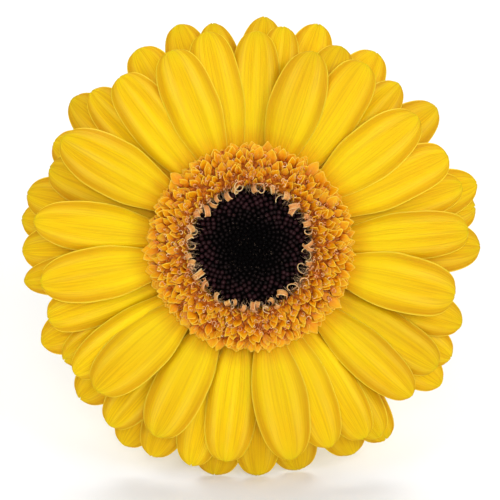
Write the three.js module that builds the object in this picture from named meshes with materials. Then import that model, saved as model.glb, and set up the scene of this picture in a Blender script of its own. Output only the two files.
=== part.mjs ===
// A cut gerbera with its stem trimmed short, lying on a table.
// The flower head rests on the tips of its lowest rays and on the cut end of the stem,
// so its face looks forwards (-Y) and tilts up. Millimetres, +Z up, table top at z = 0.
import * as THREE from "three";

const degrees = THREE.MathUtils.degToRad;

// ---- Driving dimensions ----------------------------------------------------

const faceTilt = 28; // degrees that the face looks above the horizon
const headHeight = 53.1; // the head's own origin above the table
const restReach = 2.4; // a ray tip this close to the table settles onto it

const receptacle = { radius: 13.2, top: 2.4 };
const involucre = {
  rimRadius: 17.6,
  rimTop: -5.2,
  bottom: -17,
  neckRadius: 3.7,
  bracts: 21, // bract tips around the rim
  bractFlare: 1.9, // how far a tip stands out from the rim
  bractRib: 0.35, // how far the bracts stand out lower down
  rimBand: 1, // height of the band where the tips flare
  bowlSteps: 6, // points around the bowl's quarter turn
};

const ray = {
  root: 13.6, // radius at which every ray starts
  span: 42, // run over which the climb and the arch below are measured
  thickness: 0.6,
  claw: 0.26, // width at the root as a share of the full width
  widest: 0.6, // place of the full width along the ray
  droop: 0.6, // how far the edges hang below the midrib
  rootPitch: 0.95, // height between layers at the root
  climb: 7.0, // height gained over the span before the arch takes it back
  climbPitch: 0.9, // extra climb for each layer up
  arch: 8.5, // height lost to the arch over the span
  tipSquareness: 2.4, // 2 would be an elliptical tip; more is blunter
  bluntTip: 0.15, // width left at the very tip
  bendPower: 8, // a tip that settles on the table bends only near its end
  lengthSteps: 9,
  widthSteps: 4,
};

const trans = {
  inner: 14.4,
  middle: 19.4,
  outer: 23.4,
  tips: 32, // pointed florets around the ring
  tipFrom: 6, // height from which they spread
  tipReach: 2.2, // how far they reach outwards
  lipFrom: 7, // height from which their inner lips lean in
  lipReach: 1.4, // how far the lips reach over the disc
};
const disc = { radius: 14 };
const stem = { radius: 3.0, reach: 103, endSlope: 15, drift: 4, sides: 12, steps: 18 };
const gap = 0.3; // clearance between touching pieces

// Rays, anticlockwise from the right: [azimuth in degrees, reach, width, layer].
// Layer 2 is the highest. Neighbours that overlap lie in different layers.
const frontRays = [
  [4, 51.8, 11.6, 1],
  [25.3, 51.6, 12, 1],
  [38.3, 50.2, 13.3, 2],
  [58.4, 51.4, 12.4, 1],
  [72.4, 48.7, 13.1, 2],
  [88, 51.4, 11.8, 0],
  [101.8, 52.1, 12, 1],
  [112, 50.1, 12.8, 2],
  [127.5, 50.9, 12.4, 1],
  [149.6, 51.5, 13.8, 2],
  [172.6, 51.8, 12.2, 1],
  [190, 50.3, 12.9, 2],
  [199.4, 51, 11.5, 0],
  [215.2, 51.4, 11, 1],
  [223, 49.7, 13.3, 2],
  [243.4, 50, 12.9, 1],
  [263.4, 51.2, 12.4, 0],
  [281.2, 51.1, 13.2, 2],
  [291.8, 51, 12, 1],
  [300.8, 52.9, 11.5, 0],
  [317, 52, 11.2, 1],
  [327.6, 52.7, 11.6, 0],
  [346.6, 49.6, 13.8, 2],
];

const middleRays = [
  [16.6, 52.6, 11, -1],
  [47.6, 52.8, 12, -1],
  [65.5, 52.8, 12, -2],
  [81.2, 53.3, 10, -1],
  [135.3, 53.2, 12, -1],
  [158.7, 51.5, 12, -1],
  [211.2, 52.1, 11, -1],
  [232, 54.2, 12, -1],
  [254.4, 54, 12, -1],
  [304, 54.7, 12, -1],
  [331.3, 54.8, 12, -2],
  [340.3, 53.7, 12, -1],
];

const backRays = [
  [0.2, 55.2, 13.5, -3],
  [15.6, 56.8, 13.5, -4],
  [37.4, 56, 13.5, -3],
  [56.9, 56, 13.5, -4],
  [73.2, 56.2, 12.5, -3],
  [86.6, 55.8, 12.5, -4],
  [99.5, 54.7, 11.4, -3],
  [107.8, 56.5, 12, -4],
  [119.2, 54.8, 12.4, -3],
  [140.4, 56, 13.5, -4],
  [166.4, 55.2, 13.5, -3],
  [180.3, 55, 13.5, -4],
  [188.4, 55, 10.5, -3],
  [204.5, 55.4, 13.5, -4],
  [221.5, 54.8, 13.5, -3],
  [237.6, 56.6, 12, -4],
  [244.2, 55.5, 12.5, -3],
  [260.8, 55.5, 13.5, -4],
  [271.8, 55, 12.5, -3],
  [282, 55, 13.5, -4],
  [296.1, 55.4, 13.5, -3],
];

// ---- Materials -------------------------------------------------------------

const material = (colour, roughness) =>
  new THREE.MeshStandardMaterial({ color: colour, roughness, metalness: 0 });
const rayYellow = material(0xf4c81c, 0.55);
const transOrange = material(0xe59a22, 0.6);
const discMaroon = material(0x1d0b0c, 0.5);
const bractGreen = material(0x5c7a35, 0.65);
const stemGreen = material(0x86a04a, 0.6);

// ---- Rays ------------------------------------------------------------------

// Half the width as a share of the widest, from root (0) to tip (1).
function outline(along) {
  if (along < ray.widest) {
    const s = along / ray.widest;
    return ray.claw + (1 - ray.claw) * s * s * (3 - 2 * s);
  }
  const beyond = (along - ray.widest) / (1 - ray.widest);
  return Math.max((1 - beyond ** ray.tipSquareness) ** (1 / ray.tipSquareness), ray.bluntTip);
}

// Height of the midrib above the head's origin. Every layer follows the same arch,
// so a long ray below never rises through a short one above.
function midrib(radius, layer) {
  const run = (radius - ray.root) / ray.span;
  const climb = ray.climb + ray.climbPitch * layer;
  return ray.rootPitch * layer + climb * run - ray.arch * run * run;
}

// A strap along +X from the root to the tip: arched along and across.
function rayGeometry(reach, width, layer, tipBend) {
  const { lengthSteps, widthSteps } = ray;
  const blade = new THREE.BoxGeometry(1, 2, 1, lengthSteps, widthSteps, 1);
  const points = blade.getAttribute("position");
  for (let i = 0; i < points.count; i++) {
    // stations crowd towards the tip, where the outline turns fastest
    const along = Math.sin((points.getX(i) + 0.5) * Math.PI / 2);
    const across = points.getY(i);
    const radius = ray.root + (reach - ray.root) * along;
    const height = midrib(radius, layer) - ray.droop * outline(along) * across * across;
    points.setXYZ(
      i,
      radius,
      (across * outline(along) * width) / 2,
      height + tipBend * along ** ray.bendPower + ray.thickness * points.getZ(i),
    );
  }
  blade.computeVertexNormals();
  return blade;
}

// Height of a ray's lowest corner above the table.
function tableHeight(geometry, azimuth) {
  const points = geometry.getAttribute("position");
  const corner = new THREE.Vector3();
  let lowest = Infinity;
  for (let i = 0; i < points.count; i++) {
    corner.fromBufferAttribute(points, i);
    corner.applyAxisAngle(new THREE.Vector3(0, 0, 1), azimuth).applyEuler(tilt);
    lowest = Math.min(lowest, corner.z + headHeight);
  }
  return lowest;
}

function addRays(head, name, rays) {
  rays.forEach(([azimuth, reach, width, layer], i) => {
    const turn = degrees(azimuth);
    let blade = rayGeometry(reach, width, layer, 0);
    const height = tableHeight(blade, turn);
    if (height < restReach) {
      blade = rayGeometry(reach, width, layer, -height / Math.sin(degrees(faceTilt)));
    }
    const mesh = new THREE.Mesh(blade, rayYellow);
    mesh.name = `${name}_${String(i + 1).padStart(2, "0")}`;
    mesh.rotation.z = turn;
    head.add(mesh);
  });
}

// ---- Head ------------------------------------------------------------------

// A closed ring or dome turned about the head's axis from [radius, height] points.
// push(radius, height) says how far each point moves outwards on the lobes between the notches.
function turned(name, profile, segments, finish, lobes = 0, push = () => 0) {
  const points = profile.map(([r, z]) => new THREE.Vector2(r, z));
  const geometry = new THREE.LatheGeometry(points, segments);
  geometry.rotateX(Math.PI / 2); // the lathe turns about Y
  const ring = geometry.getAttribute("position");
  for (let i = 0; i < ring.count; i++) {
    const [x, y, z] = [ring.getX(i), ring.getY(i), ring.getZ(i)];
    const radius = Math.hypot(x, y);
    if (radius === 0) continue;
    const crest = (1 - Math.cos(lobes * Math.atan2(y, x))) / 2;
    const stretch = 1 + (crest * push(radius, z)) / radius;
    ring.setXYZ(i, x * stretch, y * stretch, z);
  }
  geometry.computeVertexNormals();
  const mesh = new THREE.Mesh(geometry, finish);
  mesh.name = name;
  return mesh;
}

// Green bract cup, one piece with the receptacle that carries every floret.
function addInvolucre(head) {
  const { rimRadius, rimTop, bottom, neckRadius, bracts, bowlSteps } = involucre;
  const depth = rimTop - bottom;
  const bowl = [];
  for (let i = 0; i <= bowlSteps; i++) {
    const turn = (i / bowlSteps) * (Math.PI / 2);
    bowl.push([
      neckRadius + (rimRadius - neckRadius) * Math.sin(turn),
      rimTop - depth * Math.cos(turn),
    ]);
  }
  const flare = (radius, height) => {
    if (radius < receptacle.radius + 1) return 0; // the receptacle stays round
    return height > rimTop - involucre.rimBand ? involucre.bractFlare : involucre.bractRib;
  };
  head.add(turned("involucre", [
    [0, bottom],
    ...bowl,
    [receptacle.radius, rimTop + 0.4],
    [receptacle.radius, receptacle.top],
    [0, receptacle.top],
  ], 4 * bracts, bractGreen, bracts, flare));
}

// Ring of short orange florets, splayed over the roots of the rays.
function addTransFlorets(head) {
  const { inner, middle, outer, tips, tipFrom, tipReach, lipFrom, lipReach } = trans;
  const seat = receptacle.top + gap;
  const reachOut = (radius, height) => {
    if (radius > middle + 1) {
      return height > tipFrom ? tipReach * ((radius - middle) / (outer - middle)) ** 2 : 0;
    }
    return radius < inner + 1 && height > lipFrom ? -lipReach : 0;
  };
  head.add(turned("trans_florets", [
    [inner, seat + 0.4],
    [17.5, 4.2],
    [21, 5.2],
    [outer - 0.4, 5.8],
    [outer, 6.6],
    [outer - 0.8, 8],
    [21, 9.6],
    [middle, 10.3],
    [17.2, 10],
    [inner + 0.4, 8.9],
    [inner, 8],
    [inner, 6.9],
    [inner, seat + 0.4],
  ], 4 * tips, transOrange, tips, reachOut));
}

// Dark button of unopened disc florets, slightly sunk in the middle.
function addDiscFlorets(head) {
  const seat = receptacle.top + gap;
  head.add(turned("disc_florets", [
    [0, seat],
    [disc.radius - 0.8, seat],
    [disc.radius, seat + 1],
    [disc.radius, 5.4],
    [disc.radius - 1.6, 6.3],
    [9, 6.9],
    [5.5, 6.7],
    [2.5, 6.1],
    [0, 5.9],
  ], 30, discMaroon));
}

// ---- Stem ------------------------------------------------------------------

function addStem(flower) {
  const neck = new THREE.Vector3(0, 0, involucre.bottom - gap);
  neck.applyEuler(tilt).add(new THREE.Vector3(0, 0, headHeight));
  const leave = new THREE.Vector3(0, 0, -1).applyEuler(tilt);
  const slope = degrees(stem.endSlope);
  const arrive = new THREE.Vector3(0, Math.cos(slope), -Math.sin(slope));
  const end = new THREE.Vector3(stem.drift, neck.y + stem.reach, stem.radius * Math.cos(slope));
  const hold = stem.reach / 3;
  const path = new THREE.CubicBezierCurve3(
    neck,
    neck.clone().addScaledVector(leave, hold),
    end.clone().addScaledVector(arrive, -hold),
    end,
  );
  const section = new THREE.Shape();
  for (let i = 0; i < stem.sides; i++) {
    const turn = (i / stem.sides) * 2 * Math.PI;
    const [x, y] = [stem.radius * Math.cos(turn), stem.radius * Math.sin(turn)];
    if (i === 0) section.moveTo(x, y);
    else section.lineTo(x, y);
  }
  section.closePath();
  const mesh = new THREE.Mesh(
    new THREE.ExtrudeGeometry(section, { extrudePath: path, steps: stem.steps }),
    stemGreen,
  );
  mesh.name = "stem";
  flower.add(mesh);
}

// ---- Assembly --------------------------------------------------------------

const tilt = new THREE.Euler(degrees(90 - faceTilt), 0, 0);
const head = new THREE.Group();
head.rotation.copy(tilt);
head.position.z = headHeight;
addRays(head, "ray_front", frontRays);
addRays(head, "ray_middle", middleRays);
addRays(head, "ray_back", backRays);
addInvolucre(head);
addTransFlorets(head);
addDiscFlorets(head);

const flower = new THREE.Group();
flower.add(head);
addStem(flower);

// The part's origin is on the table, below the middle of its bounding box.
const gerbera = new THREE.Group();
gerbera.add(flower);
const middle = new THREE.Box3().setFromObject(gerbera, true).getCenter(new THREE.Vector3());
flower.position.set(-middle.x, -middle.y, 0);

export default gerbera;
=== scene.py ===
import math
import random
import bpy
import numpy as np
from mathutils import Matrix, Vector, noise


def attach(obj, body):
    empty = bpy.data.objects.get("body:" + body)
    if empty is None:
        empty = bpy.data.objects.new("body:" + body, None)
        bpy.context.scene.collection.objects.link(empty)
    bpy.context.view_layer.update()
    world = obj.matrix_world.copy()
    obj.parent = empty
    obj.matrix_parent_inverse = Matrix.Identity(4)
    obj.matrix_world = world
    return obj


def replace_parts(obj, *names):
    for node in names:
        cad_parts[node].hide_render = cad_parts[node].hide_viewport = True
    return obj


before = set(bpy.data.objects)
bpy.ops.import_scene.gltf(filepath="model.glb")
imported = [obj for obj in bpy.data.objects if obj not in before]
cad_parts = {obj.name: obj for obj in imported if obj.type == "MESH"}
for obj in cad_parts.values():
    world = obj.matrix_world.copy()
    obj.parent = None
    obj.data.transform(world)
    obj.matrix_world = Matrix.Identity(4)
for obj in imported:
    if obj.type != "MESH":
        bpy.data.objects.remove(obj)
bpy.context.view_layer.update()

mm = 0.001
head = {
    "faceTilt": 28,  # degrees that the face looks above the horizon
    "discSeat": 2.7,  # the eye's flat seat above the head's origin, mm
}


# the head's own frame: across, up the face, and out towards the viewer

tilt = math.radians(head["faceTilt"])
faceRight = Vector((1, 0, 0))
faceUp = Vector((0, math.sin(tilt), math.cos(tilt)))
faceOut = Vector((0, -math.cos(tilt), math.sin(tilt)))
faceAxes = np.array([faceRight, faceUp, faceOut])


def cornersInFace(node):  # a CAD node's corners along the face's axes, mm
    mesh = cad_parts[node].data
    points = np.empty(len(mesh.vertices) * 3)
    mesh.vertices.foreach_get("co", points)
    return points.reshape(-1, 3) @ faceAxes.T / mm


eyeCorners = cornersInFace("disc_florets")
eyeLow, eyeHigh = eyeCorners.min(axis=0), eyeCorners.max(axis=0)
headCentre = (eyeLow + eyeHigh) / 2
headCentre[2] = eyeLow[2] - head["discSeat"]
headOrigin = Vector(headCentre @ faceAxes * mm)
print("head centre", [round(x, 4) for x in headOrigin])


def fromFace(points):  # head millimetres to scene metres
    return (np.asarray(points) + headCentre) @ faceAxes * mm


def polar(radius, angle, height):
    return (radius * math.cos(angle), radius * math.sin(angle), height)


def spoke(radius, angle, height=0):
    return Vector(polar(radius, angle, height))


# mesh helpers

def addToScene(name, data):
    thing = bpy.data.objects.new(name, data)
    bpy.context.scene.collection.objects.link(thing)
    return thing


def makePiece(name, points, faces, material, uv=None, tone=None, inFace=True):
    mesh = bpy.data.meshes.new(name)
    mesh.from_pydata((fromFace(points) if inFace else np.asarray(points)).tolist(), [], faces)
    mesh.polygons.foreach_set("use_smooth", [True] * len(mesh.polygons))
    corner = np.empty(len(mesh.loops), dtype=np.int32)
    mesh.loops.foreach_get("vertex_index", corner)
    if uv is not None:  # u runs across a blade, v from its root to its tip
        layer = mesh.uv_layers.new(name="blade")
        layer.data.foreach_set("uv", np.asarray(uv, dtype=np.float32)[corner].ravel())
    if tone is not None:  # 0 to 1, the piece's own shade
        layer = mesh.attributes.new("tone", "FLOAT", "POINT")
        layer.data.foreach_set("value", np.asarray(tone, dtype=np.float32))
    mesh.materials.append(material)
    piece = addToScene(name, mesh)
    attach(piece, "root")
    return piece


def thicken(piece, thickness, underside=None):
    solid = piece.modifiers.new("thickness", "SOLIDIFY")
    solid.thickness = thickness * mm
    solid.offset = 0
    if underside:
        piece.data.materials.append(underside)
        solid.material_offset = 1
    return piece


class Heap:  # many small blades or hairs gathered into one mesh
    def __init__(self):
        self.points, self.faces, self.uv, self.tone = [], [], [], []

    def point(self, spot, u, v, tone):
        self.points.append(tuple(spot))
        self.uv.append((u, v))
        self.tone.append(tone)

    def sheet(self, place, lengthSteps, widthSteps, tone):
        start = len(self.points)
        for i in range(lengthSteps + 1):
            for j in range(widthSteps + 1):
                along, across = i / lengthSteps, 2 * j / widthSteps - 1
                self.point(place(along, across), (across + 1) / 2, along, tone)
        row = widthSteps + 1
        for i in range(lengthSteps):
            for j in range(widthSteps):
                a = start + i * row + j
                self.faces.append((a, a + row, a + row + 1, a + 1))

    def walls(self, start, rings, sides):  # between rings of points, one after another
        for i in range(rings):
            for k in range(sides):
                a, b = start + i * sides + k, start + i * sides + (k + 1) % sides
                self.faces.append((a, b, b + sides, a + sides))

    def cap(self, start, sides, way=1):  # way -1 faces back to the start
        self.faces.append(tuple(range(start, start + sides))[::way])

    def hair(self, spine, thickness, tone, sides=3, taper=0.75):
        start, last = len(self.points), len(spine) - 1
        for i, point in enumerate(spine):
            ahead = (spine[min(i + 1, last)] - spine[max(i - 1, 0)]).normalized()
            side = ahead.orthogonal().normalized()
            other = ahead.cross(side)
            width = thickness * (1 - taper * i / last)
            for k in range(sides):
                turn = math.tau * k / sides
                spot = point + width / 2 * (math.cos(turn) * side + math.sin(turn) * other)
                self.point(spot, k / sides, i / last, tone)
        self.walls(start, last, sides)
        self.cap(start, sides, -1)
        self.cap(start + last * sides, sides)

    def build(self, name, material, inFace=True):
        return makePiece(name, self.points, self.faces, material, self.uv, self.tone, inFace)


def turnedMesh(profile, segments):  # closed solid about the face's axis
    points, rings, faces = [], [], []
    for radius, height in profile:
        start = len(points)
        if radius == 0:
            points.append((0, 0, height))
        else:
            points += [polar(radius, math.tau * k / segments, height) for k in range(segments)]
        rings.append(range(start, len(points)))
    for low, high in zip(rings, rings[1:]):
        for k in range(segments):
            after = (k + 1) % segments
            if len(low) == 1:
                faces.append((low[0], high[after], high[k]))
            elif len(high) == 1:
                faces.append((low[k], low[after], high[0]))
            else:
                faces.append((low[k], low[after], high[after], high[k]))
    return points, faces


def smooth(low, high, x):
    x = min(max((x - low) / (high - low), 0), 1)
    return x * x * (3 - 2 * x)


def mix(a, b, share):
    return a + (b - a) * share


def anyTurn(chance):  # just past a full turn
    return chance.uniform(0, 6.3)


# material helpers

def linear(red, green, blue):  # from the 0-255 colour one would pick
    def one(c):
        c /= 255
        return c / 12.92 if c <= 0.04045 else ((c + 0.055) / 1.055) ** 2.4
    return (one(red), one(green), one(blue), 1)


def palette(settings):
    return {key: linear(*value) for key, value in settings["colour"].items()}


def newMaterial(name, roughness, subsurface=0, radius=(1, 0.5, 0.1), sheen=0, specular=0.2):
    material = bpy.data.materials.new(name)
    material.use_nodes = True
    shader = material.node_tree.nodes["Principled BSDF"]
    values = {
        "Roughness": roughness, "Specular IOR Level": specular, "Subsurface Weight": subsurface,
        "Subsurface Radius": radius, "Subsurface Scale": mm, "Sheen Weight": sheen, "Sheen Roughness": 0.5,
    }
    for socket, value in values.items():
        shader.inputs[socket].default_value = value
    return material, Nodes(material.node_tree), shader


class Nodes:  # short ways to add shader nodes
    def __init__(self, tree):
        self.tree = tree

    def add(self, kind, **values):
        node = self.tree.nodes.new("ShaderNode" + kind)
        for key, value in values.items():
            setattr(node, key, value)
        return node

    def link(self, source, target):
        if isinstance(source, (int, float, tuple)):
            target.default_value = source
        else:
            self.tree.links.new(source, target)

    def paint(self, colour, shader):
        self.link(colour, shader.inputs["Base Color"])

    def math(self, operation, a, b=0, c=0):
        node = self.add("Math", operation=operation)
        for socket, value in zip(node.inputs, (a, b, c)):
            self.link(value, socket)
        return node.outputs[0]

    def ramp(self, source, *stops):  # a stop is (place, colour) or (place, value)
        node = self.add("ValToRGB")
        self.link(source, node.inputs[0])
        elements = node.color_ramp.elements
        while len(elements) < len(stops):
            elements.new(0.5)
        for element, (place, colour) in zip(elements, stops):
            element.position = place
            element.color = colour if isinstance(colour, tuple) else (colour,) * 3 + (1,)
        return node.outputs[0]

    def marks(self, source, low, high, amount):  # none below low, the full amount above high
        return self.math("MULTIPLY", self.ramp(source, (low, 0.0), (high, 1.0)), amount)

    def blend(self, share, a, b, way="MIX"):
        node = self.add("Mix", data_type="RGBA", blend_type=way)
        self.link(share, node.inputs["Factor"])
        self.link(a, node.inputs[6])
        self.link(b, node.inputs[7])
        return node.outputs[2]

    def blade(self):  # (across, along) of a blade
        split = self.add("SeparateXYZ")
        self.link(self.add("UVMap", uv_map="blade").outputs[0], split.inputs[0])
        return split.outputs[0], split.outputs[1]

    def offside(self, across):  # 0 along the middle of a blade, 1 at its edges
        return self.math("ABSOLUTE", self.math("MULTIPLY_ADD", across, 2, -1))

    def tone(self):
        return self.add("Attribute", attribute_name="tone").outputs["Fac"]

    def noise(self, place, scale, detail):
        grain = self.add("TexNoise")
        grain.inputs["Scale"].default_value = scale
        grain.inputs["Detail"].default_value = detail
        self.link(place, grain.inputs["Vector"])
        return grain.outputs["Fac"]

    def streaks(self, acrossScale, alongScale, detail=3):  # noise drawn out along a blade
        stretch = self.add("Mapping")
        stretch.inputs["Scale"].default_value = (acrossScale, alongScale, 1)
        self.link(self.add("UVMap", uv_map="blade").outputs[0], stretch.inputs[0])
        shift = self.add("VectorMath", operation="ADD")
        self.link(stretch.outputs[0], shift.inputs[0])
        lift = self.add("CombineXYZ")
        self.link(self.math("MULTIPLY", self.tone(), 37), lift.inputs[2])  # no two blades alike
        self.link(lift.outputs[0], shift.inputs[1])
        return self.noise(shift.outputs[0], 1, detail)

    def spots(self, scale, detail=2):  # even noise
        return self.noise(self.add("TexCoord").outputs["Object"], scale, detail)

    def bump(self, height, distance, shader, strength=1):
        node = self.add("Bump")
        node.inputs["Distance"].default_value = distance * mm
        node.inputs["Strength"].default_value = strength
        self.link(height, node.inputs["Height"])
        self.link(node.outputs[0], shader.inputs["Normal"])


def hairMaterial(name, settings, first, second, roughness=0.5):  # a hair's tone picks its colour
    colour = palette(settings)
    material, nodes, shader = newMaterial(name, roughness)
    nodes.paint(nodes.blend(nodes.tone(), colour[first], colour[second]), shader)
    return material


# ray florets

ray = {
    "lengthSteps": 34,
    "widthSteps": 20,
    "thickness": 0.3,
    "claw": 0.26,  # width at the root as a share of the full width
    "widest": 0.6,  # place of the full width along the ray
    "bluntTip": 0.08,
    "tipSquareness": (2.2, 3.0),  # 2 is an elliptical tip, more is blunter
    "ridge": (0.38, 0.85),  # height of the long ridges, mm
    "drop": 0.95,  # how far the margins fall away, mm
    "dropCurve": 2.4,  # more keeps the middle flat and bends the margins late
    "lean": 0.25,  # a ray may droop more on one side
    "ridgeEnd": 0.82,  # the ridges die out from here to the margins
    "flatTip": 0.75,  # and fade from here to the tip
    "rimLift": 0.14,
    "rimStart": 0.9,
    "sway": 0.35,  # sideways bend of the tip, mm
    "twist": 0.35,
    "wave": 0.3,
    "tipRound": 0.25,  # how far a tip's corners fall back, mm
    "notch": 0.5,  # deepest nick in a tip, mm
    "notchWidth": 0.2,
    "notchPlace": 0.4,  # farthest from the middle
    "edgeWave": 0.03,
    "fillers": [  # rays with no solid: two neighbours, the place between them, extra reach
        ("ray_back_01", "ray_back_02", 0.64, -1.0),
        ("ray_back_10", "ray_back_11", 0.43, -1.8),
        ("ray_back_11", "ray_back_12", 0.48, 0.6),
        ("ray_back_21", "ray_middle_11", 0.25, 1.4),
        ("ray_middle_10", "ray_middle_11", 0.74, 1.6),
    ],
    "fillerDrop": 1.5,  # below the lower of the two neighbours, mm
    "colour": {
        # the root colour is the ray's own warmer base, deepened with painted shade from the ring of florets
        # above it
        "root": (250, 174, 0), "low": (255, 213, 0), "middle": (246, 197, 0), "tip": (228, 199, 8),
        # this line and the next: dark streaks with painted shade in the grooves, painted shade on the
        # margins, a painted highlight on the edge, then painted highlights on the ridges
        "streakAndGrooveShade": (208, 150, 0), "margin": (202, 142, 0), "rim": (255, 222, 62),
        "lowRidgeHighlight": (254, 212, 8), "crest": (250, 218, 88),
        "under": (238, 202, 60), "underVein": (214, 176, 44),
    },
}


def rayMaterial():
    colour = palette(ray)
    material, nodes, shader = newMaterial("ray yellow", 0.5, 0.3, (1, 0.6, 0.05), specular=0.12)
    across, along = nodes.blade()
    offside = nodes.offside(across)
    # the deeper orange at the root is partly the ray's own warmer base and partly painted shade cast by the
    # ring of florets
    base = nodes.ramp(along, (0.16, colour["root"]), (0.27, colour["low"]),
                      (0.6, colour["middle"]), (1.0, colour["tip"]))
    # fine dark lines, fine pale ones, broad ones, then painted shade in the grooves, painted highlights on
    # the ridges, painted shade along the margins and a painted highlight on the edge
    veins = nodes.marks(nodes.streaks(30, 1.8, 5), 0.48, 0.57, nodes.math("MULTIPLY_ADD", along, 0.26, 0.2))
    base = nodes.blend(veins, base, colour["streakAndGrooveShade"])
    base = nodes.blend(nodes.marks(nodes.streaks(42, 1.5, 4), 0.52, 0.62, 0.4), base, colour["low"])
    base = nodes.blend(nodes.marks(nodes.streaks(3.2, 0.8, 1), 0.42, 0.7, 0.26), base, colour["streakAndGrooveShade"])
    # painted shade in the long grooves and painted highlights on the ridges, both read from the ray's
    # relief
    crest = nodes.add("Attribute", attribute_name="crest").outputs["Fac"]
    base = nodes.blend(nodes.ramp(crest, (0.0, 0.26), (0.45, 0.0)), base, colour["streakAndGrooveShade"])
    ridgeHighlight = nodes.ramp(along, (0.3, colour["lowRidgeHighlight"]), (0.75, colour["crest"]))
    base = nodes.blend(nodes.ramp(crest, (0.5, 0.0), (1.0, 0.5)), base, ridgeHighlight)
    # painted shade along the margins, where they fall away from the light, fading towards the root
    shade = nodes.ramp(offside, (0.55, 0.0), (0.86, 0.58), (0.94, 0.4), (0.97, 0.0))
    shade = nodes.math("MULTIPLY", shade, nodes.ramp(along, (0.1, 0.15), (0.45, 1.0)))
    base = nodes.blend(shade, base, colour["margin"])
    # a painted highlight along the edge
    edge = nodes.ramp(offside, (0.94, 0.0), (0.975, 0.8))
    base = nodes.blend(edge, base, colour["rim"])
    brightness = nodes.math("MULTIPLY_ADD", nodes.tone(), 0.12, 0.92)
    tint = nodes.add("CombineColor")
    for socket in tint.inputs:
        nodes.link(brightness, socket)
    base = nodes.blend(1.0, base, tint.outputs[0], "MULTIPLY")
    nodes.paint(base, shader)
    nodes.bump(nodes.streaks(36, 1.6, 4), 0.2, shader, 0.8)
    return material


def rayUnderMaterial():
    colour = palette(ray)
    material, nodes, shader = newMaterial("ray underside", 0.6, 0.3, (1, 0.6, 0.08), specular=0.12)
    veins = nodes.ramp(nodes.streaks(22, 1.1, 3), (0.4, 0.0), (0.65, 1.0))
    base = nodes.blend(nodes.math("MULTIPLY", veins, 0.6), colour["under"], colour["underVein"])
    nodes.paint(base, shader)
    nodes.bump(veins, 0.12, shader, 0.6)
    return material


def rayFacts(node):  # azimuth, reach, half width and the midrib's height, read from the solid
    corners = cornersInFace(node) - headCentre
    azimuth = math.atan2(corners[:, 1].mean(), corners[:, 0].mean())
    outward = np.array([math.cos(azimuth), math.sin(azimuth)])
    along = corners[:, :2] @ outward
    across = corners[:, :2] @ np.array([-outward[1], outward[0]])
    stations = {}
    for radius, side, height in zip(along, across, corners[:, 2]):
        if abs(side) < 0.02:
            stations.setdefault(round(radius, 1), []).append(height)
    radii = sorted(stations)
    return {
        "azimuth": azimuth,
        "root": along.min(),
        "reach": along.max(),
        "half": np.abs(across).max(),
        "radii": radii,
        "heights": [sum(stations[r]) / len(stations[r]) for r in radii],
    }


def halfWidthAt(along, squareness):
    if along < ray["widest"]:
        return mix(ray["claw"], 1, smooth(0, ray["widest"], along))
    beyond = (along - ray["widest"]) / (1 - ray["widest"])
    return max((1 - beyond ** squareness) ** (1 / squareness), ray["bluntTip"])


def buildRay(name, facts, chance, material, underside):
    squareness, ridges = chance.uniform(*ray["tipSquareness"]), chance.random()
    ridge = chance.uniform(*ray["ridge"])
    sway, twist = chance.uniform(-1, 1), chance.uniform(-1, 1)
    lean, tone, seed = chance.uniform(-ray["lean"], ray["lean"]), chance.random(), chance.uniform(0, 90)
    notch = ray["notch"] * chance.random() ** 2
    notchSide = chance.uniform(-ray["notchPlace"], ray["notchPlace"])
    outward = np.array(polar(1, facts["azimuth"], 0))
    sideways = np.array([-outward[1], outward[0], 0])
    length = facts["reach"] - facts["root"]
    heap, crests = Heap(), []

    def place(along, across):
        along = math.sin(along * math.pi / 2)  # stations crowd towards the tip
        width = halfWidthAt(along, squareness)
        side = abs(across)
        nick = notch * math.exp(-((across - notchSide) / ray["notchWidth"]) ** 2)
        radius = facts["root"] + length * along - (ray["tipRound"] * side ** 2 + nick) * along ** 8
        height = np.interp(radius, facts["radii"], facts["heights"])
        twoRidges = 0.5 - 0.5 * math.cos(math.tau * min(side / 0.9, 1))
        threeRidges = 0.5 + 0.5 * math.cos(3 * math.pi * across)
        relief = mix(twoRidges, threeRidges, ridges) * (1 - smooth(ray["ridgeEnd"], 1, side))
        fade = 1 - 0.8 * smooth(ray["flatTip"], 1, along)
        # the relief is kept for painting shade in the grooves and highlights on the ridges
        crests.append(mix(0.48, relief, smooth(0.02, 0.3, along) * fade * ridge / ray["ridge"][1]))
        relief *= ridge * fade
        margin = ray["drop"] * abs(across + lean * (1 - side)) ** ray["dropCurve"]
        rim = ray["rimLift"] * smooth(ray["rimStart"], 1, side)
        swell = noise.noise(Vector((along * 3, across * 0.8, seed))) * ray["wave"]
        height += width * (relief - margin + rim + swell + ray["twist"] * twist * across * along)
        drift = ray["sway"] * sway * along ** 2
        ripple = 1 + ray["edgeWave"] * noise.noise(Vector((along * 6, seed, 3 * math.copysign(1, across))))
        spot = outward * radius + sideways * (across * width * ripple * facts["half"] + drift)
        return (spot[0], spot[1], height)

    heap.sheet(place, ray["lengthSteps"], ray["widthSteps"], tone)
    piece = heap.build(name, material)
    piece.data.attributes.new("crest", "FLOAT", "POINT").data.foreach_set("value", crests)
    for vertex in piece.data.vertices:  # the lowest tips lie on the table
        vertex.co.z = max(vertex.co.z, ray["thickness"] / 2 * mm)
    thicken(piece, ray["thickness"], underside)
    return piece


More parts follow.
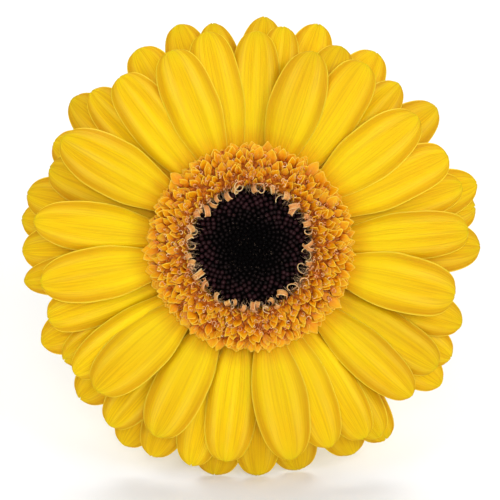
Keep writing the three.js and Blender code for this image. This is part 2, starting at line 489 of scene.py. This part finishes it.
def buildRays():
    material, underside = rayMaterial(), rayUnderMaterial()
    chance = random.Random(11)
    facts = {name: rayFacts(name) for name in sorted(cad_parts) if name.startswith("ray_")}
    for name, own in facts.items():
        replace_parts(buildRay(name + "_petal", own, chance, material, underside), name)
    for i, (first, second, share, extra) in enumerate(ray["fillers"]):
        one, two = facts[first], facts[second]
        turn = (two["azimuth"] - one["azimuth"] + math.pi) % math.tau - math.pi
        low = one if one["heights"][0] < two["heights"][0] else two
        own = dict(low)
        own["azimuth"] = one["azimuth"] + share * turn
        own["reach"] = mix(one["reach"], two["reach"], share) + extra
        own["half"] = min(one["half"], two["half"])
        own["heights"] = [height - ray["fillerDrop"] for height in low["heights"]]
        buildRay(f"filler_petal_{i + 1}", own, chance, material, underside)
    print("rays", len(facts) + len(ray["fillers"]))


buildRays()


# eye of unopened disc florets

eye = {
    "beadSpacing": 1.24,  # between neighbours at the rim, mm
    "beadRadius": 0.6,
    "beadSizes": (0.9, 1.08),
    "jitter": (0.22, 0.16, 0.08),  # around, outwards and upwards, mm
    "crowding": 0.57,  # 0.5 spaces the beads evenly, more packs the middle
    "centreBead": 0.62,  # size of the middle beads beside the outer ones
    "stretch": 1.25,
    "sink": 0.55,  # 1 sets a bead's centre on the solid's face, 0 a radius below
    "beadSides": 10,
    "beadRings": 6,
    "bedDrop": 0.45,  # how far the bed lies below the solid's face, mm
    "specks": 90,
    "speckReach": 8.6,  # they lie within this radius, mm
    "colour": {
        "core": (2, 1, 1), "outer": (42, 16, 21), "crown": (76, 56, 58), "bed": (5, 1, 2),
        "speck": (150, 128, 110), "darkSpeck": (60, 44, 40),
    },
}


def eyeProfile():  # the top of the eye's solid as radius and height
    corners = eyeCorners - headCentre
    radius = np.hypot(corners[:, 0], corners[:, 1])
    stations = {}
    for r, height in zip(radius, corners[:, 2]):
        key = round(r, 1)
        stations[key] = max(stations.get(key, -99), height)
    radii = sorted(float(r) for r in stations if stations[r] > head["discSeat"] + 1.5)
    return radii, [float(stations[r]) for r in radii]


eyeRadii, eyeHeights = eyeProfile()


def eyeHeight(radius):
    return float(np.interp(radius, eyeRadii, eyeHeights))


def beadMaterial():
    colour = palette(eye)
    material, nodes, shader = newMaterial("disc maroon", 0.45, specular=0.06)
    along = nodes.blade()[1]
    base = nodes.ramp(nodes.tone(), (0.0, colour["core"]), (0.42, colour["core"]), (1.0, colour["outer"]))
    # a painted highlight on the top of each bead, stronger on the outer ones
    crown = nodes.marks(along, 0.62, 1.0, nodes.tone())
    base = nodes.blend(nodes.math("MULTIPLY", crown, 0.42), base, colour["crown"])
    nodes.paint(base, shader)
    nodes.bump(nodes.spots(5200), 0.05, shader, 0.5)
    return material


def eyeBed():
    rim = eyeRadii[-1]
    profile = [(0, head["discSeat"]), (rim - 0.9, head["discSeat"]), (rim, 3.9)]
    steps = 12
    for i in range(steps + 1):
        radius = rim * (1 - i / steps)
        profile.append((radius, eyeHeight(radius) - eye["bedDrop"]))
    points, faces = turnedMesh(profile, segments=48)
    bedShader, nodes, shader = newMaterial("disc bed", 0.7, specular=0.03)
    colour = palette(eye)
    nodes.paint(nodes.blend(nodes.spots(900), colour["core"], colour["bed"]), shader)
    bed = makePiece("disc_bed", points, faces, bedShader)
    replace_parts(bed, "disc_florets")


def eyeBeads(chance):
    reach = eyeRadii[-1] - 0.1
    heap = Heap()
    beadArea = 0.866 * eye["beadSpacing"] ** 2  # each bead's share of a close packing
    count = int(math.tau * eye["crowding"] * reach ** 2 / beadArea)
    golden = math.pi * (3 - math.sqrt(5))
    sides, rings = eye["beadSides"], eye["beadRings"]
    for n in range(count):
        radius, angle = reach * ((n + 0.5) / count) ** eye["crowding"], n * golden
        share = radius / reach
        size = eye["beadRadius"] * mix(eye["centreBead"], 1, smooth(0.1, 0.7, share))
        size *= chance.uniform(*eye["beadSizes"])
        slope = (eyeHeight(radius + 0.4) - eyeHeight(max(radius - 0.4, 0))) / 0.8
        out = spoke(1, angle)
        up = (Vector((0, 0, 1)) - slope * out).normalized()
        side = up.cross(out).normalized()
        front = side.cross(up)
        around, outwards, upwards = eye["jitter"]
        angle += chance.uniform(-around, around) / max(radius, 1.5)
        radius += chance.uniform(-outwards, outwards)
        centre = spoke(radius, angle, eyeHeight(radius) - size * (1 - eye["sink"]))
        centre.z += chance.uniform(-upwards, upwards)
        start = len(heap.points)
        spin = anyTurn(chance)
        tone = min(max(smooth(0.25, 0.85, share) * chance.uniform(0.35, 1.1), 0), 1)
        for ring in range(rings + 1):
            polarTurn = math.pi * (0.12 + 0.86 * ring / rings)
            level = -math.cos(polarTurn)
            for k in range(sides):
                turn = math.tau * k / sides
                lobe = 1 + 0.09 * math.cos(5 * turn + spin) * smooth(0, 0.9, level)
                width = size * math.sin(polarTurn) * lobe
                rise = size * eye["stretch"] * level
                spot = centre + width * (math.cos(turn) * front + math.sin(turn) * side) + rise * up
                heap.point(spot, k / sides, ring / rings, tone)
        heap.walls(start, rings, sides)
        heap.cap(start + rings * sides, sides)
        heap.cap(start, sides, -1)
    heap.build("disc_beads", beadMaterial())
    print("eye", count, "beads")


def eyeSpecks(chance):
    specks = Heap()
    for n in range(eye["specks"]):
        radius, angle = eye["speckReach"] * math.sqrt(chance.random()), anyTurn(chance)
        foot = spoke(radius, angle, eyeHeight(radius) + 0.25)
        lean = Vector((chance.uniform(-0.3, 0.3), chance.uniform(-0.3, 0.3), 0.25))
        specks.hair([foot, foot + lean * 0.5, foot + lean], 0.09, chance.random())
    grain = hairMaterial("disc speck", eye, "darkSpeck", "speck", 0.6)
    specks.build("disc_specks", grain)


eyeChance = random.Random(23)
eyeBed()
eyeBeads(eyeChance)
eyeSpecks(eyeChance)


# ring of trans florets

trans = {
    "crown": 18.4,  # radius at which the ring stands highest, mm
    "innerFall": 5.0,  # from there to its edges
    "outerFall": 6.2,
    "foot": 5.6,  # height of its edges above the head's origin
    "rise": 3.4,
    "inner": 15.3,
    "outer": 23.2,
    "bedInner": 14.7,
    "bedOuter": 23.7,
    "bedDepth": 1.5,  # how far the bed lies below the florets' crown
    "bedEdge": 4.9,
    "rows": 8,
    "spacing": 1.95,  # between neighbours in a row, mm
    "length": (2.4, 3.8),
    "width": (1.6, 2.7),
    "sizes": (0.8, 1.1),
    "innerSize": 0.72,  # size of the innermost row beside the outermost
    "skirt": ((6.1, 7), (5.3, 0), (4.8, -6)),  # rows under the outer edge: height, degrees above the face
    "skirtInset": (1.0, 1.8),
    "skirtLength": (2.0, 2.9),
    "innerLean": 62,  # degrees above the face, for the innermost row
    "outerLean": 14,
    "leanSpread": (-22, 20),
    "cup": 0.45,
    "curl": 0.32,
    "thickness": 0.16,
    "bladeSteps": (9, 4),  # along and across a floret
    "strays": (51.5, 137, 181.5, 308, 326.5),  # degrees: longer florets that lie out over the rays
    "straySize": (4.2, 2.6),
    "lips": 48,
    "lipWidth": (0.8, 1.5),
    "lipCurl": (0.55, 1.05),
    "lipOnSide": 0.25,  # share of the lips that show their curl from the side
    "lipRing": (14.0, 15.6),
    "lipThickness": 0.14,
    "styles": 340,
    "styleRing": (14.6, 22.8),
    "styleCurl": (0.15, 0.5),  # radius of their curled ends, mm
    "bristles": 420,
    "bristleRing": (14.8, 23.2),
    "innerBristles": 320,  # lean in over the eye
    "innerBristleRing": (14.5, 15.6),
    "raggedEdge": 0.9,  # how far the inner edge wanders over the eye, mm
    "rootBristles": 1300,  # around the receptacle, between the roots of the rays
    "rootRadius": 12.9,  # where they stand on the receptacle
    "colour": {
        "throat": (176, 74, 0), "blade": (241, 158, 0), "tip": (246, 195, 0), "rim": (255, 218, 84),
        "blush": (226, 120, 10), "bed": (160, 74, 8), "bedLight": (222, 130, 20),
        "lip": (226, 166, 88), "lipLine": (176, 100, 42), "lipEdge": (252, 224, 166),
        "lipBlush": (228, 136, 84),
        "style": (255, 216, 158), "redStyle": (230, 124, 54),
        "bristle": (240, 206, 160), "darkBristle": (122, 80, 34),
    },
}


def ringHeight(radius):  # the ring's rounded top
    fall = radius - trans["crown"]
    fall /= trans["outerFall"] if fall > 0 else trans["innerFall"]
    return trans["foot"] + trans["rise"] * max(1 - fall * fall, 0) ** 0.8


def transMaterial():
    colour = palette(trans)
    material, nodes, shader = newMaterial("trans orange", 0.4, 0.2, (1, 0.4, 0.05), specular=0.2)
    across, along = nodes.blade()
    offside = nodes.offside(across)
    base = nodes.ramp(along, (0.0, colour["throat"]), (0.45, colour["blade"]), (1.0, colour["tip"]))
    base = nodes.blend(nodes.marks(nodes.streaks(5, 2, 2), 0.4, 0.7, 0.18), base, colour["throat"])
    # a painted highlight along the edges and tips of the florets
    edge = nodes.math("MAXIMUM", nodes.ramp(offside, (0.84, 0.0), (0.97, 0.75)),
                      nodes.ramp(along, (0.9, 0.0), (1.0, 0.75)))
    base = nodes.blend(nodes.math("MULTIPLY", edge, along), base, colour["rim"])
    redder = nodes.math("MULTIPLY", nodes.tone(), 0.42)
    base = nodes.blend(redder, base, colour["blush"])
    nodes.paint(base, shader)
    nodes.bump(nodes.streaks(8, 2, 2), 0.05, shader, 0.35)
    return material


# the bed under the florets is coloured as the shade between them: painted shade
def shadedBedMaterial():
    material, nodes, shader = newMaterial("trans bed", 0.75, 0.1)
    colour = palette(trans)
    share = nodes.ramp(nodes.spots(1500, 3), (0.4, 0.0), (0.65, 1.0))
    nodes.paint(nodes.blend(share, colour["bed"], colour["bedLight"]), shader)
    nodes.bump(nodes.spots(1100, 3), 0.4, shader)
    return material


def lipMaterial():
    colour = palette(trans)
    material, nodes, shader = newMaterial("lip cream", 0.5, 0.25, (1, 0.5, 0.2))
    across, along = nodes.blade()
    offside = nodes.offside(across)
    base = nodes.ramp(along, (0.0, colour["throat"]), (0.25, colour["lip"]), (1.0, colour["lip"]))
    base = nodes.blend(nodes.marks(nodes.streaks(7, 0.8, 1), 0.45, 0.6, 0.7), base, colour["lipLine"])
    base = nodes.blend(nodes.ramp(offside, (0.7, 0.0), (0.95, 0.9)), base, colour["lipEdge"])
    base = nodes.blend(nodes.math("MULTIPLY", nodes.tone(), 0.45), base, colour["lipBlush"])
    nodes.paint(base, shader)
    nodes.bump(nodes.streaks(7, 0.8, 1), 0.1, shader, 0.7)
    return material


def addBlade(heap, radius, angle, height, lean, length, width, chance, bend=0.0, blush=0.3):
    out, side = spoke(1, angle + bend), spoke(1, angle + bend + math.pi / 2)
    forward = math.cos(lean) * out + math.sin(lean) * Vector((0, 0, 1))
    above = -math.sin(lean) * out + math.cos(lean) * Vector((0, 0, 1))
    foot = spoke(radius, angle, height)
    curl = trans["curl"] * chance.uniform(-0.8, 1.6)
    cup = trans["cup"] * chance.uniform(0.3, 1.5)
    roll = chance.uniform(-0.6, 0.6)
    blunt = chance.uniform(0.75, 1.25)

    def place(along, across):
        if along < 0.55:
            spread = mix(0.5, 1, smooth(0, 0.55, along))
        else:
            spread = max((1 - ((along - 0.55) / 0.45) ** 1.5) ** blunt, 0.06)
        spot = foot + forward * length * along + side * across * width / 2 * spread
        lift = cup * across * across * spread - curl * along * along * 1.6 + roll * across * spread
        return spot + above * lift

    heap.sheet(place, *trans["bladeSteps"], min(blush + 0.5 * chance.random(), 1))


def addLip(heap, radius, angle, height, chance):
    width = chance.uniform(*trans["lipWidth"])
    curlRadius = chance.uniform(*trans["lipCurl"])
    sweep = math.radians(chance.uniform(150, 260))
    swing = math.radians(chance.uniform(-45, 45))
    tip = math.radians(chance.uniform(-35, 35))
    if chance.random() < trans["lipOnSide"]:
        tip = math.radians(chance.choice((-75, 75)))
        width *= 0.6
    inward = -spoke(1, angle + swing)
    side = spoke(1, angle + swing + math.pi / 2)
    up = Vector((0, 0, 1))
    side, up = math.cos(tip) * side + math.sin(tip) * up, math.cos(tip) * up - math.sin(tip) * side
    foot = spoke(radius, angle, height)
    stretch = chance.uniform(1.0, 1.7)

    def place(along, across):
        if along < 0.2:
            turn, rise = 0, (along / 0.2 - 1) * 1.2
        else:
            turn, rise = (along - 0.2) / 0.8 * sweep, 0
        tighten = 1 - 0.35 * max(along - 0.5, 0)
        run = curlRadius * (1 - math.cos(turn)) * tighten * stretch
        rise += curlRadius * math.sin(turn) * 1.1 * tighten
        spread = mix(0.7, 1, smooth(0, 0.5, along))
        dish = -0.12 * (1 - across * across) * width
        return foot + inward * (run + dish) + up * rise + side * across * width / 2 * spread

    heap.sheet(place, 16, 4, chance.random())


# a dark body under the florets, coloured with painted shade to fill the gaps between them
def transBed():
    profile = []
    steps = 14
    for i in range(steps + 1):
        radius = mix(trans["bedOuter"], trans["bedInner"], i / steps)
        profile.append((radius, max(ringHeight(radius) - trans["bedDepth"], trans["bedEdge"])))
    profile += [(trans["bedInner"], 3.2), (17.6, 3.6), (21, 4.0), (trans["bedOuter"], 4.3)]
    points, faces = turnedMesh(profile + profile[:1], segments=72)
    bed = makePiece("trans_bed", points, faces, shadedBedMaterial())
    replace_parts(bed, "trans_florets")


def transBlades(chance):
    blades = Heap()
    for row in range(trans["rows"]):
        share = row / (trans["rows"] - 1)
        radius = mix(trans["inner"], trans["outer"] - 1.6, share)
        count = int(math.tau * radius / trans["spacing"])
        lean = math.radians(mix(trans["innerLean"], trans["outerLean"], share ** 0.8))
        for k in range(count):
            angle = math.tau * (k + 0.5 * (row % 2)) / count + chance.uniform(-0.045, 0.045)
            wander = noise.noise(spoke(1.6, angle, 4.2)) * trans["raggedEdge"] * (1 - share) ** 2
            spot = radius + wander + chance.uniform(-0.6, 0.6)
            size = chance.uniform(*trans["sizes"]) * mix(trans["innerSize"], 1, share)
            addBlade(
                blades, spot, angle, ringHeight(spot) - trans["bedDepth"] + chance.uniform(-0.3, 0.3),
                lean + math.radians(chance.uniform(*trans["leanSpread"])),
                size * chance.uniform(*trans["length"]), size * chance.uniform(*trans["width"]),
                chance, chance.uniform(-0.5, 0.5), 0.5 * (1 - share))
    for height, lean in trans["skirt"]:
        count = int(math.tau * trans["outer"] / trans["spacing"])
        for k in range(count):
            angle = math.tau * (k + chance.random()) / count
            addBlade(
                blades, trans["outer"] - chance.uniform(*trans["skirtInset"]), angle,
                height + chance.uniform(-0.2, 0.2), math.radians(lean + chance.uniform(-8, 8)),
                chance.uniform(*trans["skirtLength"]), chance.uniform(*trans["width"]),
                chance, chance.uniform(-0.3, 0.3), 0.1)
    for degrees in trans["strays"]:
        addBlade(blades, trans["outer"] - 1.8, math.radians(degrees), ringHeight(trans["outer"]) + 0.4,
                 math.radians(4), *trans["straySize"], chance)
    florets = thicken(blades.build("trans_blades", transMaterial()), trans["thickness"])
    print("trans florets", len(blades.faces) // math.prod(trans["bladeSteps"]))


def transLips(chance):
    lips = Heap()
    for k in range(trans["lips"]):
        angle = math.tau * (k + chance.uniform(-0.6, 0.6)) / trans["lips"]
        radius = chance.uniform(*trans["lipRing"])
        addLip(lips, radius, angle, ringHeight(radius) + chance.uniform(-0.3, 0.7), chance)
    curls = thicken(lips.build("trans_lips", lipMaterial()), trans["lipThickness"])


def transBristles(chance):
    bristles = Heap()
    for k in range(trans["bristles"]):
        angle, radius = anyTurn(chance), chance.uniform(*trans["bristleRing"])
        foot = spoke(radius, angle, ringHeight(radius) - 0.9)
        lean = Vector((chance.uniform(-0.6, 0.6), chance.uniform(-0.6, 0.6), chance.uniform(0.8, 1.7)))
        lean += spoke(0.5, angle)
        droop = spoke(0.2, angle, -0.15)
        bristles.hair([foot, foot + lean * 0.5, foot + lean + droop], 0.11, chance.random() * 0.6)
    for k in range(trans["innerBristles"]):
        angle, radius = anyTurn(chance), chance.uniform(*trans["innerBristleRing"])
        foot = spoke(radius, angle, ringHeight(radius) - 0.4)
        reach = spoke(-chance.uniform(0.8, 3.2), angle + chance.uniform(-0.5, 0.5))
        top = foot + reach + Vector((0, 0, chance.uniform(0.6, 1.6)))
        bristles.hair([foot, foot.lerp(top, 0.5) + Vector((0, 0, 0.35)), top], 0.1, chance.uniform(0, 0.8))
    for k in range(trans["rootBristles"]):
        angle, height = anyTurn(chance), chance.uniform(-4.6, 2.4)
        foot = spoke(trans["rootRadius"], angle, height)
        reach = spoke(chance.uniform(2.2, 4.2), angle + chance.uniform(-0.25, 0.25))
        rise = Vector((0, 0, 0.5 * chance.uniform(-0.4, 1) + 0.1 * height))
        middle = foot + reach * 0.5 + rise * 0.3
        bristles.hair([foot, middle, foot + reach + rise], 0.2, chance.random() * 0.4)
    cream = hairMaterial("bristle cream", trans, "bristle", "darkBristle")
    bristles.build("trans_bristles", cream)


def transStyles(chance):
    styles = Heap()
    for k in range(trans["styles"]):
        angle, radius = anyTurn(chance), mix(*trans["styleRing"], chance.random() ** 1.5)
        foot = spoke(radius, angle, ringHeight(radius) - chance.uniform(-0.3, 0.5))
        turnWay, size = anyTurn(chance), chance.uniform(*trans["styleCurl"])
        spine = [foot]
        for i in range(9):
            turn = turnWay + i * 0.55
            spine.append(foot + Vector((
                size * (math.cos(turn) - math.cos(turnWay)),
                size * (math.sin(turn) - math.sin(turnWay)),
                1.1 + 0.12 * i)))
        styles.hair(spine, 0.24, chance.random(), 5)
    salmon = hairMaterial("style salmon", trans, "style", "redStyle")
    styles.build("trans_styles", salmon)


transChance = random.Random(31)
transBed()
transBlades(transChance)
transLips(transChance)
transBristles(transChance)
transStyles(transChance)


# green bract cup

cup = {
    "neck": 3.7,  # radius where the stem joins, mm
    "rim": 16.6,
    "rimHeight": -5.4,
    "receptacle": 13.0,  # radius of the bed that carries the florets
    "receptacleHeights": (-5.0, 2.3),
    "meridian": 21,  # from the neck to the rim along the curve, mm
    "rows": 3,
    "perRow": 18,
    "standOff": (0.75, 0.22),  # first row from the cup, and how much nearer each next row is, mm
    "length": 12.5,
    "width": 3.5,
    "thickness": 0.3,
    "hairs": 700,
    "colour": {
        "deep": (52, 78, 26), "leaf": (92, 124, 46), "edge": (134, 154, 78), "tip": (110, 74, 48),
        "hair": (214, 220, 186), "darkHair": (150, 160, 110),
        "receptacle": (222, 214, 150), "receptacleDeep": (168, 172, 88),
    },
}


cupMiddle = Vector((0, 0, -5))  # keels and hairs stand away from here
cupBottom = float((cornersInFace("involucre") - headCentre)[:, 2].min())


def cupPoint(share, angle, standOff=0.0):  # 0 at the neck, 1 at the rim
    turn = share * math.pi / 2
    radius = mix(cup["neck"], cup["rim"], math.sin(turn)) + standOff * math.sin(turn)
    depth = cup["rimHeight"] - cupBottom
    height = cup["rimHeight"] - depth * math.cos(turn) - standOff * math.cos(turn)
    return spoke(radius, angle, height)


def bractMaterial():
    colour = palette(cup)
    material, nodes, shader = newMaterial("bract green", 0.6, 0.05, sheen=0.25)
    across, along = nodes.blade()
    offside = nodes.offside(across)
    base = nodes.ramp(along, (0.0, colour["deep"]), (0.5, colour["leaf"]), (0.86, colour["leaf"]),
                      (1.0, colour["tip"]))
    base = nodes.blend(nodes.math("MULTIPLY", nodes.streaks(9, 1.2, 2), 0.5), base, colour["deep"])
    base = nodes.blend(nodes.ramp(offside, (0.7, 0.0), (1.0, 0.7)), base, colour["edge"])
    nodes.paint(base, shader)
    nodes.bump(nodes.streaks(12, 1.5, 3), 0.15, shader, 0.6)
    return material


def cupBody():
    steps, segments = 10, 64
    profile = [(0, cupBottom)]
    for i in range(steps + 1):
        spot = cupPoint(i / steps, 0)
        profile.append((spot.x, spot.z))
    wall, (foot, top) = cup["receptacle"], cup["receptacleHeights"]
    profile += [(wall, foot), (wall, top), (0, top)]
    points, faces = turnedMesh(profile, segments)
    green, nodes, shader = newMaterial("cup green", 0.65, sheen=0.2)
    colour = palette(cup)
    nodes.paint(nodes.blend(nodes.spots(700), colour["deep"], colour["leaf"]), shader)
    nodes.bump(nodes.spots(1400), 0.2, shader, 0.6)
    base = makePiece("cup_body", points, faces, green)
    cream, nodes, shader = newMaterial("receptacle cream", 0.6, 0.2)
    nodes.paint(nodes.blend(nodes.spots(900), colour["receptacle"], colour["receptacleDeep"]), shader)
    nodes.bump(nodes.spots(1600), 0.2, shader, 0.6)
    base.data.materials.append(cream)
    for polygon in base.data.polygons:  # the receptacle stands above the cup's rim
        if polygon.index >= (steps + 1) * segments:
            polygon.material_index = 1
    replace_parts(base, "involucre")


def cupBracts(chance):
    bracts = Heap()
    for row in range(cup["rows"]):
        start = 0.12 + 0.2 * row
        span = cup["length"] * (0.72 + 0.14 * row) / cup["meridian"]
        standOff = cup["standOff"][0] - cup["standOff"][1] * row
        for k in range(cup["perRow"]):
            angle = math.tau * (k + row / cup["rows"] + chance.uniform(-0.1, 0.1)) / cup["perRow"]
            tone, width = chance.random(), cup["width"] * chance.uniform(0.85, 1.1)
            flare = chance.uniform(0.2, 0.7)

            def place(along, across):
                share = start + span * along
                spot = cupPoint(share, angle, standOff + flare * along ** 3)
                spread = (1 - along ** 2.2) ** 0.8 * mix(0.6, 1, smooth(0, 0.35, along))
                side = spoke(1, angle + math.pi / 2)
                keel = 0.35 * (1 - across * across) * spread
                away = (spot - cupMiddle).normalized()
                return spot + side * across * width / 2 * max(spread, 0.05) + away * keel

            bracts.sheet(place, 12, 6, tone)
    leaves = thicken(bracts.build("cup_bracts", bractMaterial()), cup["thickness"])
    print("bracts", cup["rows"] * cup["perRow"])


def cupHairs(chance):
    hairs = Heap()
    for k in range(cup["hairs"]):
        share, angle = chance.uniform(0.05, 0.98), anyTurn(chance)
        foot = cupPoint(share, angle, 0.9)
        away = (foot - cupMiddle).normalized()
        top = foot + away * chance.uniform(0.5, 1.1) + Vector((0, 0, 0.3))
        hairs.hair([foot - away * 0.5, foot.lerp(top, 0.5), top], 0.06, chance.random() * 0.5)
    fuzz = hairMaterial("green hair", cup, "hair", "darkHair")
    hairs.build("cup_hairs", fuzz)


cupChance = random.Random(41)
cupBody()
cupBracts(cupChance)
cupHairs(cupChance)


# stem

stem = {
    "radius": 3.0,
    "ribs": 9,
    "ribHeight": 0.16,
    "sides": 54,
    "steps": 70,
    "neckSwell": 0.7,  # how much wider it is at the cup, mm
    "neckLength": 0.09,  # as a share of the stem
    "cut": ((0.86, 0.0), (0.8, 0.12), (0.45, 0.25), (0.12, 0.45)),  # share of the radius, depth in mm
    "hairs": 1100,
    "colour": {
        "green": (126, 156, 66), "rib": (158, 180, 96), "blush": (150, 96, 62), "deep": (86, 116, 42),
        "pith": (222, 226, 176), "pithRing": (150, 176, 92),
        "hair": (226, 230, 204), "darkHair": (170, 180, 120),
    },
}


def stemStations():  # centres of the solid's rings, from the neck to the cut
    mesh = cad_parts["stem"].data
    points = sorted((Vector(v.co) / mm for v in mesh.vertices), key=lambda p: p.y)
    groups = [[points[0]]]
    for before, after in zip(points, points[1:]):
        if after.y - before.y > 1.2:  # wider than a tilted ring, narrower than a gap
            groups.append([])
        groups[-1].append(after)
    return [sum(group, Vector()) / len(group) for group in groups]


def stemMaterial():
    colour = palette(stem)
    material, nodes, shader = newMaterial("stem green", 0.5, 0.1, (0.4, 0.8, 0.2), 0.2)
    across = nodes.blade()[0]
    wave = nodes.math("SINE", nodes.math("MULTIPLY", across, math.tau * stem["ribs"]))
    base = nodes.blend(nodes.math("MULTIPLY_ADD", wave, 0.35, 0.5), colour["green"], colour["rib"])
    base = nodes.blend(nodes.math("MULTIPLY", nodes.streaks(40, 9, 3), 0.5), base, colour["deep"])
    blush = nodes.ramp(nodes.streaks(5, 7, 2), (0.5, 0.0), (0.75, 0.5))
    base = nodes.blend(blush, base, colour["blush"])
    nodes.paint(base, shader)
    nodes.bump(nodes.streaks(60, 22, 3), 0.12, shader, 0.7)
    return material


def pithMaterial():
    colour = palette(stem)
    pale, ring = colour["pith"], colour["pithRing"]
    material, nodes, shader = newMaterial("stem pith", 0.6, 0.2, (0.8, 0.9, 0.4))
    place = nodes.ramp(nodes.blade()[1], (0.55, pale), (0.8, ring), (0.86, pale))
    nodes.paint(nodes.blend(nodes.math("MULTIPLY", nodes.spots(2600), 0.4), place, ring), shader)
    nodes.bump(nodes.spots(3200), 0.1, shader, 0.8)
    return material


def wrapSeam(piece):  # the last faces around run on from u = 1 instead of back to 0
    layer = piece.data.uv_layers["blade"].data
    for polygon in piece.data.polygons:
        corners = [layer[i] for i in polygon.loop_indices]
        if max(c.uv[0] for c in corners) < 0.9 or len(corners) > 4:
            continue
        for c in corners:
            if c.uv[0] < 0.1:
                c.uv[0] += 1


def stemRings():  # centre, two sides and radius of each ring
    centres = stemStations()
    keys = np.linspace(0, 1, len(centres))
    line = np.array([list(c) for c in centres])

    def centreAt(share):
        return Vector([np.interp(share, keys, line[:, k]) for k in range(3)])

    rings = []
    for i in range(stem["steps"] + 1):
        share = i / stem["steps"]
        ahead = (centreAt(min(share + 0.06, 1)) - centreAt(max(share - 0.06, 0))).normalized()
        side = (faceRight - faceRight.dot(ahead) * ahead).normalized()
        below = ahead.cross(side)
        swell = stem["neckSwell"] * (1 - smooth(0, stem["neckLength"], share))
        swell += 0.12 * math.sin(share * 19)
        rings.append((centreAt(share), side, below, stem["radius"] - stem["ribHeight"] + swell))
    print("stem", len(centres), "stations")
    return rings


def stemStalk(rings):
    steps, sides = stem["steps"], stem["sides"]
    heap = Heap()
    for i, (here, side, below, radius) in enumerate(rings):
        for k in range(sides):
            turn = math.tau * k / sides
            rib = stem["ribHeight"] * math.cos(stem["ribs"] * turn)
            spot = here + (radius + rib) * (math.cos(turn) * below - math.sin(turn) * side)
            spot.z = max(spot.z, 0)
            heap.point(spot * mm, k / sides, i / steps, 0.4)
    heap.walls(0, steps, sides)
    heap.cap(0, sides, -1)
    end, endSide, endBelow, endRadius = rings[-1]  # the cut: a rim, then a slightly sunken pith
    back = (rings[-2][0] - end).normalized()
    firstCut = len(heap.faces)
    for shrink, sink in stem["cut"]:
        for k in range(sides):
            turn = math.tau * k / sides
            spot = end + back * sink + shrink * endRadius * (
                math.cos(turn) * endBelow - math.sin(turn) * endSide)
            heap.point(spot * mm, k / sides, shrink, 0.6)
    heap.walls(steps * sides, len(stem["cut"]), sides)
    heap.cap(len(heap.points) - sides, sides)
    piece = heap.build("stem_stalk", stemMaterial(), inFace=False)
    piece.data.materials.append(pithMaterial())
    wrapSeam(piece)
    for polygon in piece.data.polygons[firstCut:]:
        polygon.material_index = 1
        polygon.use_smooth = False
    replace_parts(piece, "stem")


def stemHairs(rings, chance):
    hairs = Heap()
    for k in range(stem["hairs"]):
        share, turn = chance.uniform(0.02, 0.99), anyTurn(chance)
        here, side, below, size = rings[int(share * stem["steps"])]
        away = math.cos(turn) * side + math.sin(turn) * below
        foot = here + (size - 0.05) * away
        lean = Vector((chance.uniform(-0.2, 0.2), chance.uniform(-0.3, 0.3), 0.1))
        top = foot + away * chance.uniform(0.3, 0.75) + lean
        if top.z < 0.1:
            continue
        hairs.hair([foot * mm, foot.lerp(top, 0.5) * mm, top * mm], 0.05 * mm, chance.random() * 0.5)
    fuzz = hairMaterial("stem hair", stem, "hair", "darkHair")
    hairs.build("stem_hairs", fuzz, inFace=False)


stemLine = stemRings()
stemStalk(stemLine)
stemHairs(stemLine, random.Random(53))


# table, light and camera

studio = {
    "table": (0.95, 0.95, 0.945, 1),
    "tableSize": 12,
    "sky": 0.42,
    "lights": {  # place from the head and size in metres, watts
        "left softbox": ((-0.45, -0.35, 0.52), 0.35, 1.1),
        "right softbox": ((0.5, -0.4, 0.46), 0.35, 1.7),
        "front softbox": ((0.05, -0.75, 0.45), 0.3, 2.0),
        "back softbox": ((0.0, 0.7, 1.0), 0.9, 9.5),
    },
    "lens": 180,
    "frameWidth": 118.8,  # what the camera sees across the head, mm
    "aim": (-0.1, -0.6),  # where the camera looks, from the head's centre, mm
}


def buildStudio():
    size = studio["tableSize"]
    mesh = bpy.data.meshes.new("table")
    mesh.from_pydata([(-size, -size, 0), (size, -size, 0), (size, size, 0), (-size, size, 0)],
                     [], [(0, 1, 2, 3)])
    table = addToScene("table", mesh)
    surface, nodes, shader = newMaterial("table white", 0.8)
    nodes.paint(studio["table"], shader)
    mesh.materials.append(surface)

    world = bpy.data.worlds.new("sky")
    bpy.context.scene.world = world
    world.use_nodes = True
    background = world.node_tree.nodes["Background"]
    background.inputs[0].default_value = (1, 1, 1, 1)
    background.inputs[1].default_value = studio["sky"]

    for name, (place, width, watts) in studio["lights"].items():
        light = bpy.data.lights.new(name, "AREA")
        light.energy, light.size = watts, width
        lamp = addToScene(name, light)
        lamp.location = headOrigin + Vector(place)
        lamp.rotation_euler = Vector(place).to_track_quat("Z", "Y").to_euler()

    camera = bpy.data.cameras.new("camera")
    camera.lens, camera.sensor_width = studio["lens"], 36
    viewer = addToScene("camera", camera)
    distance = studio["frameWidth"] * mm * camera.lens / camera.sensor_width
    aim = headOrigin + faceRight * studio["aim"][0] * mm + faceUp * studio["aim"][1] * mm
    turn = Matrix([faceRight, faceUp, faceOut]).transposed().to_4x4()
    viewer.matrix_world = Matrix.Translation(aim + faceOut * distance) @ turn
    camera.clip_start, camera.clip_end = 0.01, 50
    bpy.context.scene.camera = viewer
    bpy.context.scene.view_settings.view_transform = "Standard"
    print("studio ready")


buildStudio()
